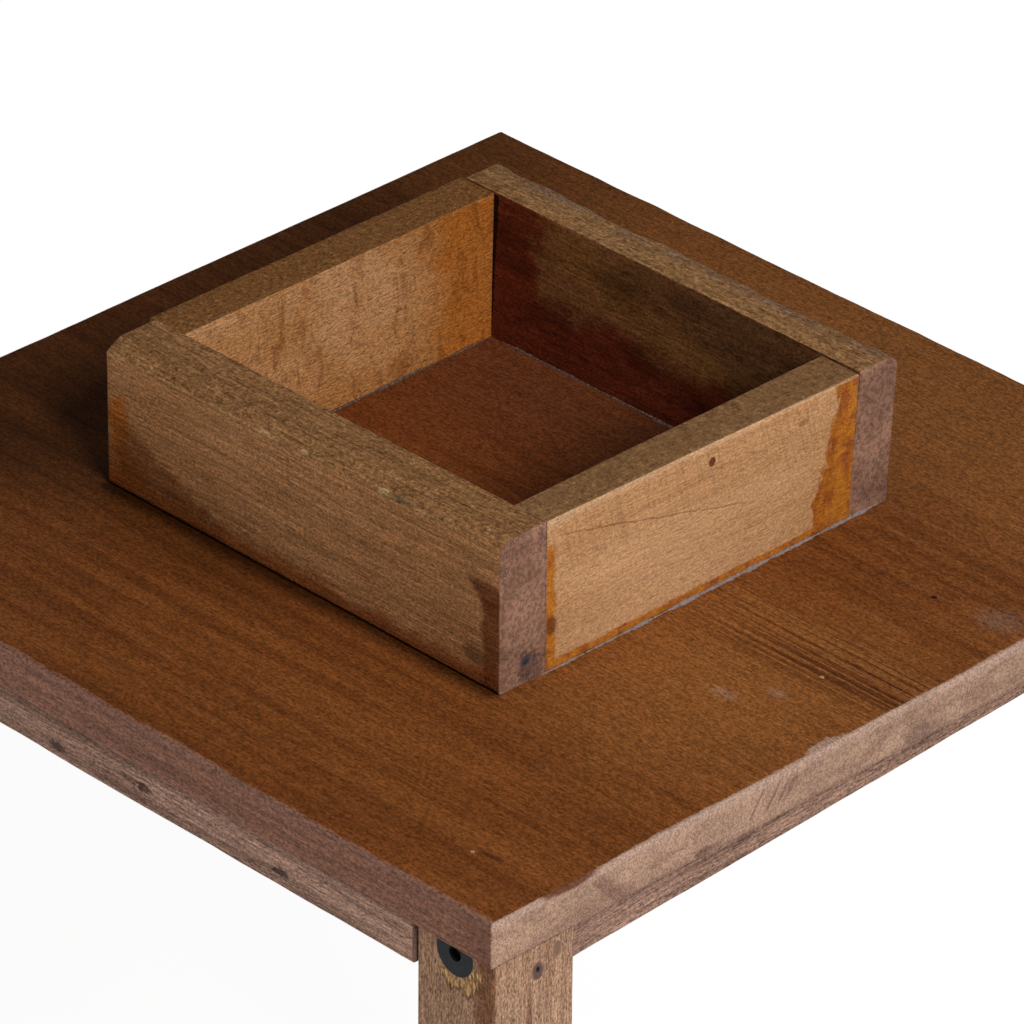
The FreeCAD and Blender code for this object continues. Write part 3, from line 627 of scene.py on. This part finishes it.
def right_wall_marks(s, colour):
    """Glue stains, a knot, a fine crack, faint saw marks, a browner top and inner face, and a line of painted
    shade along the foot.
    """
    ragged = s.noise((14, 12, 22), 5.0, 0.7, 0.6, 8.1)
    deep = s.noise((8, 8, 12), 3.0, 0.6, 0.4, 2.9)
    outer = s.all_of(s.step(s.nx, 0.5, 0.8), s.step(s.x, 112, 116))
    colour = right_wall_stains(s, colour, outer, ragged, deep)
    colour = s.spot(colour, tone(90, 36, 22), 0.9, (BOX_RIGHT, 10, 663), (6, 2.0, 2.2))
    colour = s.spot(colour, tone(110, 56, 30), 0.5, (BOX_RIGHT, 66, 660), (6, 3.0, 1.6))
    colour = s.spot(colour, tone(88, 36, 14), 0.7, (BOX_RIGHT, -86, 622), (6, 4.0, 5.0), ragged, 0.5)
    crack_line = s.wavy(s.slope(s.y, 0.27, s.z), deep, 1.6)
    crack = s.all_of(s.between(crack_line, (642.1, 642.5), (642.9, 643.3)),
                     s.between(s.y, (-84, -78), (20, 40)))
    colour = s.tint(colour, s.all_of(outer, crack), 0.5, tone(110, 64, 36))
    slant = s.combine(s.slope(s.z, 0.25, s.y), s.z, 0.0)
    hatch = s.step(s.noise((1.6, 60, 60), 1.0, 0.5, 0.0, 3.3, slant), 0.5, 0.62)
    upper = s.all_of(outer, s.step(s.wavy(s.z, ragged, 20.0), 636, 650))
    colour = s.shade(colour, s.all_of(upper, hatch), 0.88)
    top_and_inside = s.math("SUBTRACT", 1.0, s.step(s.nx, 0.3, 0.7))
    colour = s.tint(colour, top_and_inside, 0.85, tone(116, 82, 50))
    colour = flecked(s, colour, top_and_inside)
    arris = s.all_of(s.step(s.x, 120.2, 120.7), s.step(s.z, 669, 670.5))
    colour = s.tint(colour, arris, 0.4, tone(206, 168, 132))
    # Painted shade: a near-black line along the wall's foot.
    return s.tint(colour, s.step(s.z, 601.2, 600.4), 0.8, PAINTED_GAP_SHADE)


right_wall_wood = wood("right_wall_wood", "Y", tone(184, 137, 94), tone(196, 150, 108), tone(160, 110, 68),
                       rough=0.6, decorate=right_wall_marks, shift=4.0, fibre=0.06, strand=0.12, band=0.3,
                       pore=0.12, speckle=0.24)


def left_wall_marks(s, colour):
    """A blotchy inner face, orange at its back end, with painted shade in the corner."""
    ragged = s.noise((18, 18, 14), 4.0, 0.6, 0.5, 6.6)
    cloud = s.noise((60, 60, 50), 3.0, 0.6, 0.3, 1.7)
    inner = s.step(s.nx, 0.4, 0.7)
    pale = s.all_of(inner, s.step(cloud, 0.35, 0.65), s.step(s.y, 70, 20))
    colour = s.tint(colour, pale, 0.5, tone(206, 158, 116))
    warm = s.step(s.wavy(s.z, ragged, 14.0), 618, 606)
    colour = s.tint(colour, s.all_of(inner, warm), 0.5, tone(154, 96, 44))
    stain = s.step(s.wavy(s.y, ragged, 24.0), 52, 74)
    colour = s.tint(colour, s.all_of(inner, stain), 0.75, tone(166, 92, 24))
    fold = s.noise((30, 9, 22), 4.0, 0.6, 0.9, 15.5)
    colour = s.tint(colour, s.all_of(inner, s.step(fold, 0.52, 0.66)), 0.5, tone(122, 64, 26))
    # Painted shade in the inner corner against the back wall.
    painted_corner_shade = s.step(s.slope(s.z, -0.054, s.y), 64.2, 65.0)
    colour = s.tint(colour, s.all_of(inner, painted_corner_shade), 0.9, PAINTED_GAP_SHADE)
    top = s.step(s.nz, 0.5, 0.8)
    colour = s.tint(colour, top, 0.9, tone(122, 80, 42))
    return flecked(s, colour, top)


left_wall_wood = wood("left_wall_wood", "Y", tone(170, 114, 64), tone(182, 128, 78), tone(146, 90, 46),
                      rough=0.6, decorate=left_wall_marks, shift=7.0, fibre=0.05, strand=0.06, band=0.3,
                      pore=0.05, speckle=0.32, depth=0.9)


def back_wall_marks(s, colour):
    """Red glue stain over the left and lower parts of the inner face, painted shadow over its right part and
    painted shade in its left corner, a worn grey outer arris.
    """
    ragged = s.noise((18, 18, 14), 4.0, 0.65, 0.5, 1.6)
    inner = s.step(s.ny, -0.4, -0.8)
    low = s.step(s.wavy(s.z, ragged, 17.0), 638, 624)
    left = s.step(s.wavy(s.x, ragged, 16.0), -68, -80)
    red = s.math("MAXIMUM", low, left)
    slope = s.wavy(s.slope(s.x, 0.32, s.z), ragged, 8.0)
    olive = s.between(slope, (625, 634), (648, 662))
    colour = s.tint(colour, inner, 0.75, tone(104, 62, 34))
    colour = s.tint(colour, s.all_of(inner, olive), 0.45, tone(134, 90, 44))
    colour = s.tint(colour, s.all_of(inner, red), 0.85, tone(92, 30, 17))
    blotch = s.noise((40, 20, 16), 3.0, 0.6, 0.4, 5.9)
    colour = s.shade(colour, s.all_of(inner, s.step(blotch, 0.42, 0.66)), 0.6)
    # Painted shadow of the right wall: the inner face darkens towards the right.
    colour = s.shade(colour, s.all_of(inner, s.step(s.x, -20, 90)), 0.62)
    # Painted shade in the inner corner against the left wall.
    painted_corner_shade = s.all_of(inner, s.step(s.x, -100.9, -101.5), s.step(s.z, 670.5, 670))
    colour = s.tint(colour, painted_corner_shade, 0.9, PAINTED_GAP_SHADE)
    colour = flecked(s, colour, s.step(s.nz, 0.5, 0.8))
    worn = s.all_of(s.step(s.y, 111, 117), s.step(s.z, 664, 667))
    return s.tint(colour, s.all_of(worn, s.step(ragged, 0.4, 0.6)), 0.5, tone(138, 112, 98))


back_wall_wood = wood("back_wall_wood", "X", tone(144, 104, 66), tone(156, 114, 74), tone(104, 70, 42),
                      rough=0.6, decorate=back_wall_marks, shift=9.0, fibre=0.2, strand=0.2)


def box_end_marks(s, colour):
    """A dark stain round the nail low in the front wall's right end."""
    ragged = s.noise((2.4, 2.4, 2.4), 3.0, 0.6, 0.3, 6.2)
    colour = s.spot(colour, tone(84, 66, 62), 0.6, (BOX_RIGHT, -99, 608), (4, 6, 7), ragged, 1.1, 0.3)
    return s.spot(colour, tone(56, 58, 66), 0.8, (BOX_RIGHT, -100.6, 611), (4, 2.6, 2.6), ragged, 0.8, 0.3)


box_end = end_grain("box_end_grain", tone(122, 88, 72), tone(148, 110, 90), tone(70, 48, 42), 7.0,
                    decorate=box_end_marks, grit_size=2.0)


def leg_marks(s, colour):
    """Torn pale fibres round the front bush, a warmer strip down the front arris, and painted shade on the
    faces towards +X.
    """
    ragged = s.noise((2.6, 2.6, 8), 3.0, 0.6, 0.3, 5.3)
    front = s.step(s.y, -236.3, -236.7)
    warm_strip = s.all_of(front, s.step(s.wavy(s.x, ragged, 2.0), 230.5, 234))
    colour = s.tint(colour, warm_strip, 0.75, tone(116, 72, 46))
    below = s.step(s.slope(s.x, -0.35, s.z), 491, 488.5)
    torn = s.all_of(front, below, s.blob((222.6, LEG_FRONT, 569.8), (13.0, 9, 12.5), ragged, 0.6, 0.06))
    rim = s.all_of(front, below, s.blob((222.6, LEG_FRONT, 569.3), (13.8, 9, 13.7), ragged, 0.6, 0.06))
    colour = s.tint(colour, rim, 0.65, tone(78, 48, 32))
    thread = s.noise((1.1, 1.1, 5), 2.0, 0.6, 0.2, 8.3)
    straw = s.mix(s.step(thread, 0.42, 0.62), tone(196, 156, 108), tone(134, 94, 58))
    colour = s.tint(colour, torn, 0.9, straw)
    streak = s.all_of(s.step(s.x, 241.4, 242.4),
                      s.blob((LEG_RIGHT, -217, 543), (5, 1.2, 16), ragged, 0.9, 0.4))
    colour = s.tint(colour, streak, 0.6, tone(96, 64, 50))
    # Painted shade: the faces towards +X are darkened.
    return s.shade(colour, s.step(s.nx, 0.5, 0.8), 0.86)


leg_wood = wood("leg_wood", "Z", tone(156, 120, 94), tone(172, 136, 110), tone(126, 90, 68), rough=0.8,
                decorate=leg_marks, depth=0.5, fibre=0.16, strand=0.22, pore=0.6, shift=3.0, pore_level=0.64)
rail_x_wood = edge_wood("rail_x_wood", "X", 8.0)
rail_y_wood = edge_wood("rail_y_wood", "Y", 9.0)


def plain(name, colour, spots, roughness, depth, size, metallic=0.0):
    """A small part's finish: a colour mottled with another, with a slight relief."""
    s = Surface(name)
    mottle = s.noise((size, size, size), 3.0, 0.6, 0.0, 2.5)
    mixed = s.tint(colour, s.step(mottle, 0.45, 0.7), 0.5, spots)
    made = s.finish(mixed, s.math("MULTIPLY_ADD", mottle, 0.3, roughness - 0.15), mottle, depth)
    made.node_tree.nodes["Principled BSDF"].inputs["Metallic"].default_value = metallic
    return made


def filler_finish():
    """Dark filler that thins out into the leg's colour towards its edge."""
    s = Surface("dark_filler")
    ragged = s.noise((1.6, 1.6, 2.4), 3.0, 0.6, 0.2, 5.5)
    colour = s.mix(ragged, tone(150, 116, 92), tone(128, 94, 74))
    lower, upper = (LEG_RIGHT, -212.8, 565.4), (LEG_RIGHT, -201.9, 572.2)
    pit = (LEG_RIGHT, -212.8, 566.6)
    colour = s.spot(colour, tone(88, 68, 62), 0.95, lower, (9, 2.9, 4.4), ragged, 0.5, 0.25)
    colour = s.spot(colour, tone(100, 76, 68), 0.6, upper, (9, 2.0, 4.4), ragged, 0.5, 0.3)
    colour = s.spot(colour, tone(30, 22, 20), 0.95, pit, (9, 1.1, 1.3), ragged, 0.3, 0.3)
    return s.finish(colour, 0.85, ragged, 0.3, 0.1)


steel = plain("dull_steel", tone(120, 116, 112), tone(74, 48, 34), 0.5, 0.08, 1.2, metallic=0.8)
bush_skin = plain("bush_plastic", tone(11, 16, 21), tone(18, 24, 31), 0.7, 0.12, 2.0)
PEG_COLOUR = tone(150, 116, 82)
peg_skin = plain("peg_wood", PEG_COLOUR, tuple(0.6 * part for part in PEG_COLOUR[:3]) + (1.0,), 0.7, 0.2, 0.8)
filler_skin = filler_finish()
glue_skin = plain("dry_glue", tone(136, 120, 116), tone(62, 44, 36), 0.8, 0.3, 1.3)
dark_glue = plain("dark_glue", tone(72, 52, 42), tone(150, 128, 112), 0.8, 0.3, 1.3)
rusty = plain("rusty_nail", tone(54, 46, 46), tone(30, 24, 24), 0.7, 0.2, 1.0)


# ---------------------------------------------------------------- planks
SHARP = (0.05 * MM, 0.05 * MM)
EASED = (1.1 * MM, 1.1 * MM)
CRISP = (0.5 * MM, 0.5 * MM)
ROUNDED = (1.8 * MM, 1.8 * MM)


def dress_board(node, corners, end_radius, rounded, spacing, slot, *materials):
    """A straight board along X with worn edges, in place of a CAD one."""
    low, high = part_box(node)
    size = high - low
    made = slab(node + "_shown", straight_cage(low, high), size.x, size.y, size.z, corners, end_radius,
                rounded, spacing)
    return dress(made, "top", slot, [node], *materials)


def make_plank(node, front_edge, back_edge):
    """A plank of the board. Its outer edges are worn, and the edges in the joints are sharp."""
    front = CRISP if front_edge else SHARP
    back = CRISP if back_edge else SHARP
    front_top = ROUNDED if front_edge else SHARP
    back_top = ROUNDED if back_edge else SHARP
    dress_board(node, (front, back, back_top, front_top), 1.1 * MM, (front_edge, back_edge, 1, 1), 4 * MM,
                "board_wood", board_wood, board_end)


make_plank("front_plank", 1, 0)
make_plank("middle_plank", 0, 0)
make_plank("back_plank", 0, 1)

# ---------------------------------------------------------------- battens
BATTEN_EDGES = (EASED, EASED, SHARP, SHARP)
BATTEN_END = 0.6 * MM
BATTEN_ROUNDED = (1, 1, 1, 0)
BATTEN_TAPER = 14.5 * MM

for node in ("front_batten", "back_batten"):
    dress_board(node, BATTEN_EDGES, BATTEN_END, BATTEN_ROUNDED, 6 * MM, "batten_wood", batten_skin,
                batten_end)

batten_low, batten_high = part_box("right_batten")
batten_size = batten_high - batten_low


def batten_cage(a, b, c):
    """The right batten, which loses width towards the back."""
    width = batten_size.x - BATTEN_TAPER * a
    return batten_low + Vector((width * b, batten_size.y * a, batten_size.z * c))


made = slab("right_batten_shown", batten_cage, batten_size.y, batten_size.x, batten_size.z, BATTEN_EDGES,
            BATTEN_END, BATTEN_ROUNDED)
dress(made, "top", "batten_wood", ["right_batten"], batten_side_skin, batten_end)

# ---------------------------------------------------------------- box
BOX_SMOOTH_UNDER = 28
front_low, front_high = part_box("box_front_wall")
FRONT_RIGHT_T = 26.8 * MM
FRONT_LEFT_T = 29.2 * MM
FRONT_LEFT_H = 70.8 * MM
FRONT_RIGHT_H = 73.8 * MM
FRONT_FOOT = (2.0 * MM, 1.2 * MM)
FRONT_CREST = (7.0 * MM, 4.6 * MM, 0.85)


def front_cage(a, b, c):
    """The front wall: thinner and taller at its right end."""
    thick = FRONT_LEFT_T + (FRONT_RIGHT_T - FRONT_LEFT_T) * a
    tall = FRONT_LEFT_H + (FRONT_RIGHT_H - FRONT_LEFT_H) * a
    return Vector((front_low.x + (front_high.x - front_low.x) * a, front_low.y + thick * b, TOP + tall * c))


made = slab("box_front_wall_shown", front_cage, front_high.x - front_low.x, FRONT_RIGHT_T, FRONT_RIGHT_H,
            (FRONT_FOOT, SHARP, CRISP, FRONT_CREST), 0.6 * MM, spacing=3 * MM, wear=0.25,
            angle=BOX_SMOOTH_UNDER)
dress(made, "top", "box_wood", ["box_front_wall"], front_wall_wood, box_end)

back_low, back_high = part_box("box_back_wall")
BACK_T = 23.6 * MM
BACK_H = back_high.z - TOP
BACK_LEAN = 3.8 * MM
BACK_CREST = (5.5 * MM, 4.5 * MM, 0.6)


def back_cage(a, b, c):
    """The back wall, which leans away from the box."""
    y = back_low.y + BACK_T * b + BACK_LEAN * c
    return Vector((back_low.x + (back_high.x - back_low.x) * a, y, TOP + BACK_H * c))


made = slab("box_back_wall_shown", back_cage, back_high.x - back_low.x, BACK_T, BACK_H,
            (SHARP, CRISP, BACK_CREST, CRISP), 0.6 * MM, spacing=4 * MM, angle=BOX_SMOOTH_UNDER)
dress(made, "top", "box_wood", ["box_back_wall"], back_wall_wood, box_end)

CORNER_GAP = 0.6 * MM
right_low, right_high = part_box("box_right_wall")
RIGHT_FRONT_T = 19.6 * MM
RIGHT_BACK_T = 22.7 * MM
RIGHT_FRONT_H = 73.6 * MM
RIGHT_BACK_H = 70.6 * MM


def right_cage(a, b, c):
    """The right wall: thicker and lower at its back end, with a gap to the back wall that opens upwards."""
    thick = RIGHT_FRONT_T + (RIGHT_BACK_T - RIGHT_FRONT_T) * a
    tall = RIGHT_FRONT_H + (RIGHT_BACK_H - RIGHT_FRONT_H) * a
    start = front_low.y + FRONT_RIGHT_T
    end = back_low.y + (BACK_LEAN - CORNER_GAP) * c
    y = start + (end - start) * a
    return Vector((right_high.x - thick * (1 - b), y, TOP + tall * c))


made = slab("box_right_wall_shown", right_cage, right_high.y - right_low.y, RIGHT_FRONT_T, RIGHT_FRONT_H,
            (SHARP, SHARP, CRISP, CRISP), 0.4 * MM, spacing=4 * MM)
dress(made, "top", "box_wood", ["box_right_wall"], right_wall_wood, box_end)

LEFT_T = 21.9 * MM
LEFT_LEAN = 3.4 * MM
LEFT_H = 70.6 * MM
LEFT_OVERLAP = 0.2 * MM


def left_cage(a, b, c):
    """The left wall, which leans outwards and ends against the back wall."""
    start = front_low.y + FRONT_LEFT_T - LEFT_OVERLAP
    y = start + (back_low.y + BACK_LEAN * c - start) * a
    return Vector((front_low.x + LEFT_T * b - LEFT_LEAN * c, y, TOP + LEFT_H * c))


left_low, left_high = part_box("box_left_wall")
made = slab("box_left_wall_shown", left_cage, left_high.y - left_low.y, LEFT_T, LEFT_H,
            (SHARP, SHARP, CRISP, EASED), 0.2 * MM, spacing=4 * MM)
dress(made, "top", "box_wood", ["box_left_wall"], left_wall_wood, box_end)


# ---------------------------------------------------------------- nail head
NAIL_SIDES = 20
NAIL_R = 1.5 * MM
NAIL_RISE = 0.5 * MM
NAIL_PROFILE = ((1.0, -1.0), (1.0, 0.3), (0.75, 0.8))


def nail_head(name, head):
    """A slightly domed round head that stands proud of the wood, facing +X. The profile gives its radius and
    height as shares of NAIL_R and NAIL_RISE."""
    mesh = bmesh.new()
    loops = []
    for size, height in NAIL_PROFILE:
        loop = []
        for k in range(NAIL_SIDES):
            angle = math.tau * k / NAIL_SIDES
            spoke = Vector((0, -math.sin(angle), math.cos(angle))) * (NAIL_R * size)
            loop.append(mesh.verts.new(head + spoke + Vector((NAIL_RISE * height, 0, 0))))
        loops.append(loop)
    for first, second in zip(loops, loops[1:]):
        join(mesh, first, second)
    mesh.faces.new(loops[0])
    mesh.faces.new(loops[-1][::-1])
    bmesh.ops.recalc_face_normals(mesh, faces=mesh.faces)
    return to_object(name, mesh)


nail_low, nail_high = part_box("box_nail")
nail_place = Vector((nail_high.x, (nail_low.y + nail_high.y) / 2, (nail_low.z + nail_high.z) / 2))
dress(nail_head("box_nail_shown", nail_place), "top", "steel", ["box_nail"], rusty)


# ---------------------------------------------------------------- glue beads
BEAD_SPACING = 1.5 * MM
BEAD_STEPS = 8
# A bead fades out over one part in this many of its length.
END_FADE = 12


def bead_bulk(middle, seed, t):
    """How thick the bead is at a point, as a share of its usual size. It fades out at both ends."""
    bulk = 0.9 + 1.0 * noise.noise(middle * 70 + Vector((seed, 0, 0))) + 0.6 * noise.noise(middle * 420)
    return max(bulk, 0.12) * min(1, END_FADE * t, END_FADE * (1 - t))


def bead(name, start, end, width, height, seed, skin):
    """An uneven strip of dried glue along the foot of a wall, with half circles as its rings."""
    span = end - start
    count = round(span.length / BEAD_SPACING)
    side = Vector((0, 0, 1)).cross(span.normalized())
    mesh = bmesh.new()
    rings = []
    for i in range(count + 1):
        middle = start + span * (i / count)
        bulk = bead_bulk(middle, seed, i / count)
        ring = []
        for k in range(BEAD_STEPS + 1):
            angle = math.radians(180 * k / BEAD_STEPS)
            lump = bulk * (1 + 0.35 * noise.noise(Vector((middle.x * 700, middle.y * 700, k * 3 + seed))))
            across = side * (math.cos(angle) * width * lump)
            ring.append(mesh.verts.new(middle + across + Vector((0, 0, math.sin(angle) * height * lump))))
        rings.append(ring)
    for first, second in zip(rings, rings[1:]):
        join(mesh, first, second)
    mesh.faces.new(rings[0])
    mesh.faces.new(rings[-1][::-1])
    bmesh.ops.recalc_face_normals(mesh, faces=mesh.faces)
    return dress(to_object(name, mesh), "top", "filler", [], skin)


RIGHT_X = right_high.x
INNER_LEFT = front_low.x + LEFT_T
left_start = Vector((INNER_LEFT, front_high.y, TOP))
left_back = Vector((INNER_LEFT, back_low.y, TOP))
right_back = Vector((RIGHT_X - RIGHT_BACK_T, back_low.y, TOP))
outer_start = Vector((RIGHT_X, -100 * MM, TOP))
outer_end = Vector((RIGHT_X, 120 * MM, TOP))
bead("glue_bead_right", outer_start, outer_end, 1.4 * MM, 0.9 * MM, 1, glue_skin)
bead("glue_bead_left", left_start, left_back, 0.9 * MM, 0.7 * MM, 2, dark_glue)
bead("glue_bead_back", left_back, right_back, 0.9 * MM, 0.7 * MM, 3, dark_glue)

# ---------------------------------------------------------------- CAD pieces that are shown as they are
skins = {
    "leg_wood": leg_wood,
    "rail_wood": rail_x_wood,
    "batten_wood": batten_side_skin,
    "peg_wood": peg_skin,
    "bush_plastic": bush_skin,
    "steel": steel,
    "filler": filler_skin,
}
# Pieces whose finish isn't their slot's.
own_skins = {
    "left_stretcher": rail_y_wood,
    "right_stretcher": rail_y_wood,
    "left_top_rail": rail_y_wood,
    "right_top_rail": rail_y_wood,
    "batten_nails": rusty,
    "box_nail": rusty,
}
for part in frame["record"]["subparts"]:
    node = part["node"]
    slot = part["material_slot"]
    if slot in skins:
        faces = frame["nodes"][node].data
        faces.materials.clear()
        faces.materials.append(own_skins.get(node, skins[slot]))

# ---------------------------------------------------------------- stage, light and camera
FLOOR_HALF = 8.0
FLOOR_GREY = 0.25
FLOOR_GLOW = 0.93
WORLD_STRENGTH = 0.12
KEY_DIRECTION = (0.72, -0.22, 0.64)
KEY_DISTANCE = 2.4
KEY_SIZE = 1.0
KEY_POWER = 51


def make_floor():
    """A plain white floor that shows only soft shadows."""
    mesh = bmesh.new()
    corners = []
    for x, y in ((-1, -1), (1, -1), (1, 1), (-1, 1)):
        corners.append(mesh.verts.new((x * FLOOR_HALF, y * FLOOR_HALF, 0)))
    mesh.faces.new(corners)
    look = bpy.data.materials.new("floor_look")
    look.use_nodes = True
    shader = look.node_tree.nodes["Principled BSDF"]
    shader.inputs["Base Color"].default_value = (FLOOR_GREY, FLOOR_GREY, FLOOR_GREY, 1)
    shader.inputs["Roughness"].default_value = 0.9
    shader.inputs["Emission Color"].default_value = (1, 1, 1, 1)
    shader.inputs["Emission Strength"].default_value = FLOOR_GLOW
    floor = to_object("floor", mesh)
    floor.data.materials.append(look)


def lamp(name, direction, distance, size, power):
    """A round area light that shines at the middle of the board."""
    light = bpy.data.lights.new(name, "AREA")
    light.shape = "DISK"
    light.size = size
    light.energy = power
    made = bpy.data.objects.new(name, light)
    aim = Vector(direction).normalized()
    made.location = Vector((0, 0, TOP)) + aim * distance
    made.rotation_euler = aim.to_track_quat("Z", "Y").to_euler()
    bpy.context.scene.collection.objects.link(made)


make_floor()
lamp("key", KEY_DIRECTION, KEY_DISTANCE, KEY_SIZE, KEY_POWER)
world = bpy.data.worlds.new("studio")
world.use_nodes = True
world.node_tree.nodes["Background"].inputs["Color"].default_value = (1, 1, 1, 1)
world.node_tree.nodes["Background"].inputs["Strength"].default_value = WORLD_STRENGTH
bpy.context.scene.world = world

AZIMUTH = math.radians(45.236)
ELEVATION = math.radians(30.543)
ROLL = math.radians(0.585)
DISTANCE = 3.5087
SHIFT_RIGHT = 7.63 * MM
SHIFT_UP = -8.07 * MM
LENS = 282.71


def make_camera():
    """A long lens that looks down at the board, turned about it by AZIMUTH from the front."""
    flat = math.cos(ELEVATION)
    away = Vector((math.sin(AZIMUTH) * flat, -math.cos(AZIMUTH) * flat, math.sin(ELEVATION)))
    level = Vector((math.cos(AZIMUTH), math.sin(AZIMUTH), 0))
    upright = away.cross(level)
    right = level * math.cos(ROLL) + upright * math.sin(ROLL)
    up = upright * math.cos(ROLL) - level * math.sin(ROLL)
    lens = bpy.data.cameras.new("camera")
    lens.lens = LENS
    lens.sensor_width = 36
    lens.dof.use_dof = False
    lens.clip_end = 100
    camera = bpy.data.objects.new("camera", lens)
    turn = Matrix((right, up, away)).transposed().to_4x4()
    aim = Vector((MARK_X * MM, MARK_Y * MM, TOP))
    spot = aim + away * DISTANCE + right * SHIFT_RIGHT + up * SHIFT_UP
    camera.matrix_world = Matrix.Translation(spot) @ turn
    bpy.context.scene.collection.objects.link(camera)
    bpy.context.scene.camera = camera


make_camera()
bpy.context.scene.view_settings.view_transform = "Standard"
